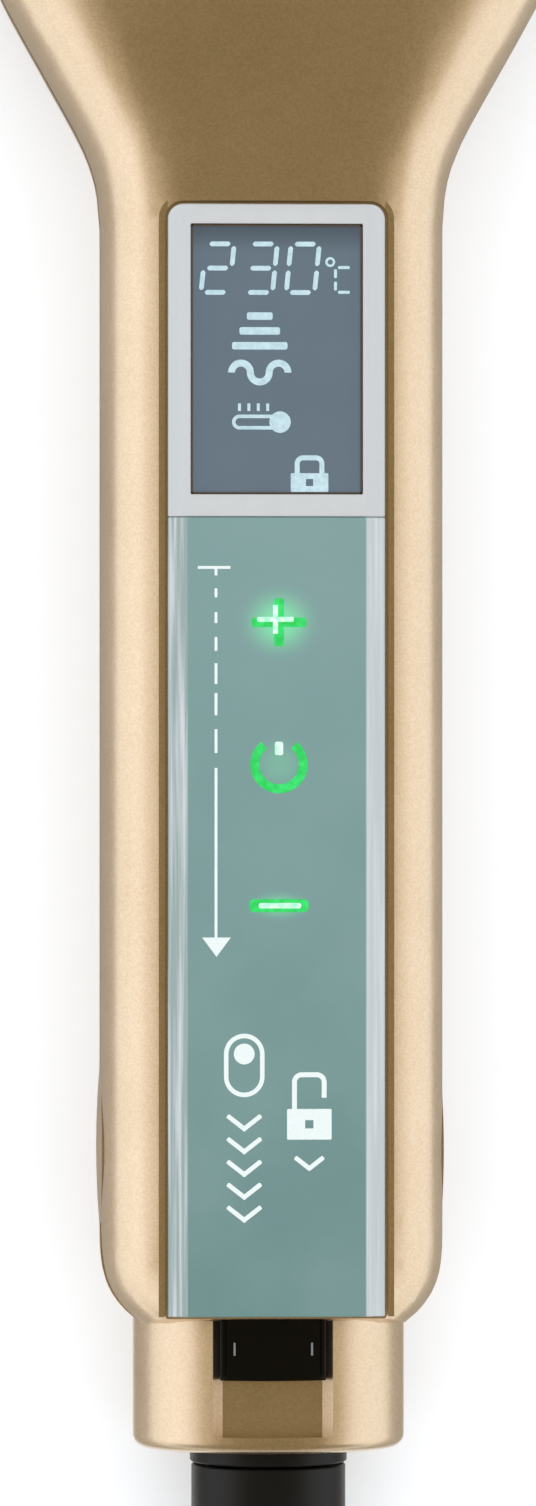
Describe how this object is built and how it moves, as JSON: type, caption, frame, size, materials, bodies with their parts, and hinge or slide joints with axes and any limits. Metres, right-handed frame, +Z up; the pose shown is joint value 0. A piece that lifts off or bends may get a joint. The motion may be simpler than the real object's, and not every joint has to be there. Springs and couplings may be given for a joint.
{
  "type": "three-barrel waving curling iron",
  "caption": "Clamshell waving iron with nesting hollow barrels, touch panel with display, sliding lock and cord swivel.",
  "frame": {"origin": "middle of the length and width, on the plane that the lower arm rests on", "axes": "+Y towards the head's tip, +X across the tool, +Z up out of the touch panel"},
  "size_m": [0.063, 0.282, 0.0345],
  "materials": {
    "gold_casing": "satin champagne-gold metallic lacquer on moulded plastic",
    "black_plastic": "black moulded plastic, satin",
    "insulating_frame": "heat-resistant glass-filled plastic, fine texture",
    "barrel_coating": "extruded aluminium with a dark ceramic coating",
    "heater_ceramic": "alumina heating plate",
    "steel": "zinc-plated or stainless steel",
    "brass": "turned brass and phosphor bronze",
    "circuit_board": "green solder mask on glass-epoxy",
    "component_black": "moulded component bodies",
    "capacitor_sleeve": "shrink sleeve on an aluminium can",
    "pale_bezel": "pale pearl lacquer",
    "slate_glass": "hard-coated window, glossy",
    "teal_panel": "clear panel back-painted teal, polished bevels",
    "display_body": "white moulded light guide",
    "light_diode": "green light-emitting diode",
    "lead_sleeve": "silicone-rubber lead insulation"
  },
  "bodies": {
    "lower_arm": {"lower_housing": "gold_casing", "neck_shell": "gold_casing", "hinge_cap_left": "gold_casing", "hinge_cap_right": "gold_casing", "swivel_socket": "black_plastic", "lower_nose_cap": "black_plastic", "lower_barrel_frame": "insulating_frame", "lower_inner_cover": "insulating_frame", "lower_barrel_left": "barrel_coating", "lower_barrel_centre": "barrel_coating", "lower_barrel_right": "barrel_coating", "lower_heater_left": "heater_ceramic", "lower_heater_centre": "heater_ceramic", "lower_heater_right": "heater_ceramic", "hinge_pin": "steel", "hinge_block": "steel", "opening_spring": "steel", "lower_screws": "steel", "lock_detent_spring": "steel", "triac": "steel", "contact_brushes": "brass", "mains_board": "circuit_board", "power_relay": "component_black", "mains_terminal": "component_black", "line_choke": "component_black", "thermal_fuse": "component_black", "temperature_sensor": "component_black", "smoothing_capacitor": "capacitor_sleeve", "lower_heater_leads": "lead_sleeve"},
    "upper_arm": {"upper_housing": "gold_casing", "upper_nose_cap": "black_plastic", "upper_barrel_frame": "insulating_frame", "upper_inner_cover": "insulating_frame", "upper_barrel_left": "barrel_coating", "upper_barrel_right": "barrel_coating", "upper_heater_left": "heater_ceramic", "upper_heater_right": "heater_ceramic", "upper_screws": "steel", "upper_heater_leads": "lead_sleeve", "hinge_bracket": "steel", "hinge_bushes": "brass", "display_bezel": "pale_bezel", "display_glass": "slate_glass", "touch_panel": "teal_panel", "display_module": "display_body", "control_board": "circuit_board", "touch_springs": "brass", "key_lights": "light_diode", "icon_light_guide": "display_body"},
    "lock": {"lock_slider": "black_plastic"},
    "swivel": {"swivel_cap": "black_plastic", "slip_rings": "brass", "swivel_retainer": "steel"}
  },
  "joints": [
    {"name": "arm_hinge", "type": "hinge", "parent": "lower_arm", "child": "upper_arm", "pos_m": [0, -0.091, 0.014], "axis": [1, 0, 0], "range_deg": [0, 14], "deforming": ["opening_spring"]},
    {"name": "lock_slide", "type": "slide", "parent": "lower_arm", "child": "lock", "axis": [0, -1, 0], "range_m": [0, 0.0055]},
    {"name": "cord_swivel", "type": "hinge", "parent": "lower_arm", "child": "swivel", "pos_m": [0, -0.13, 0.0121], "axis": [0, 1, 0], "continuous": true}
  ]
}
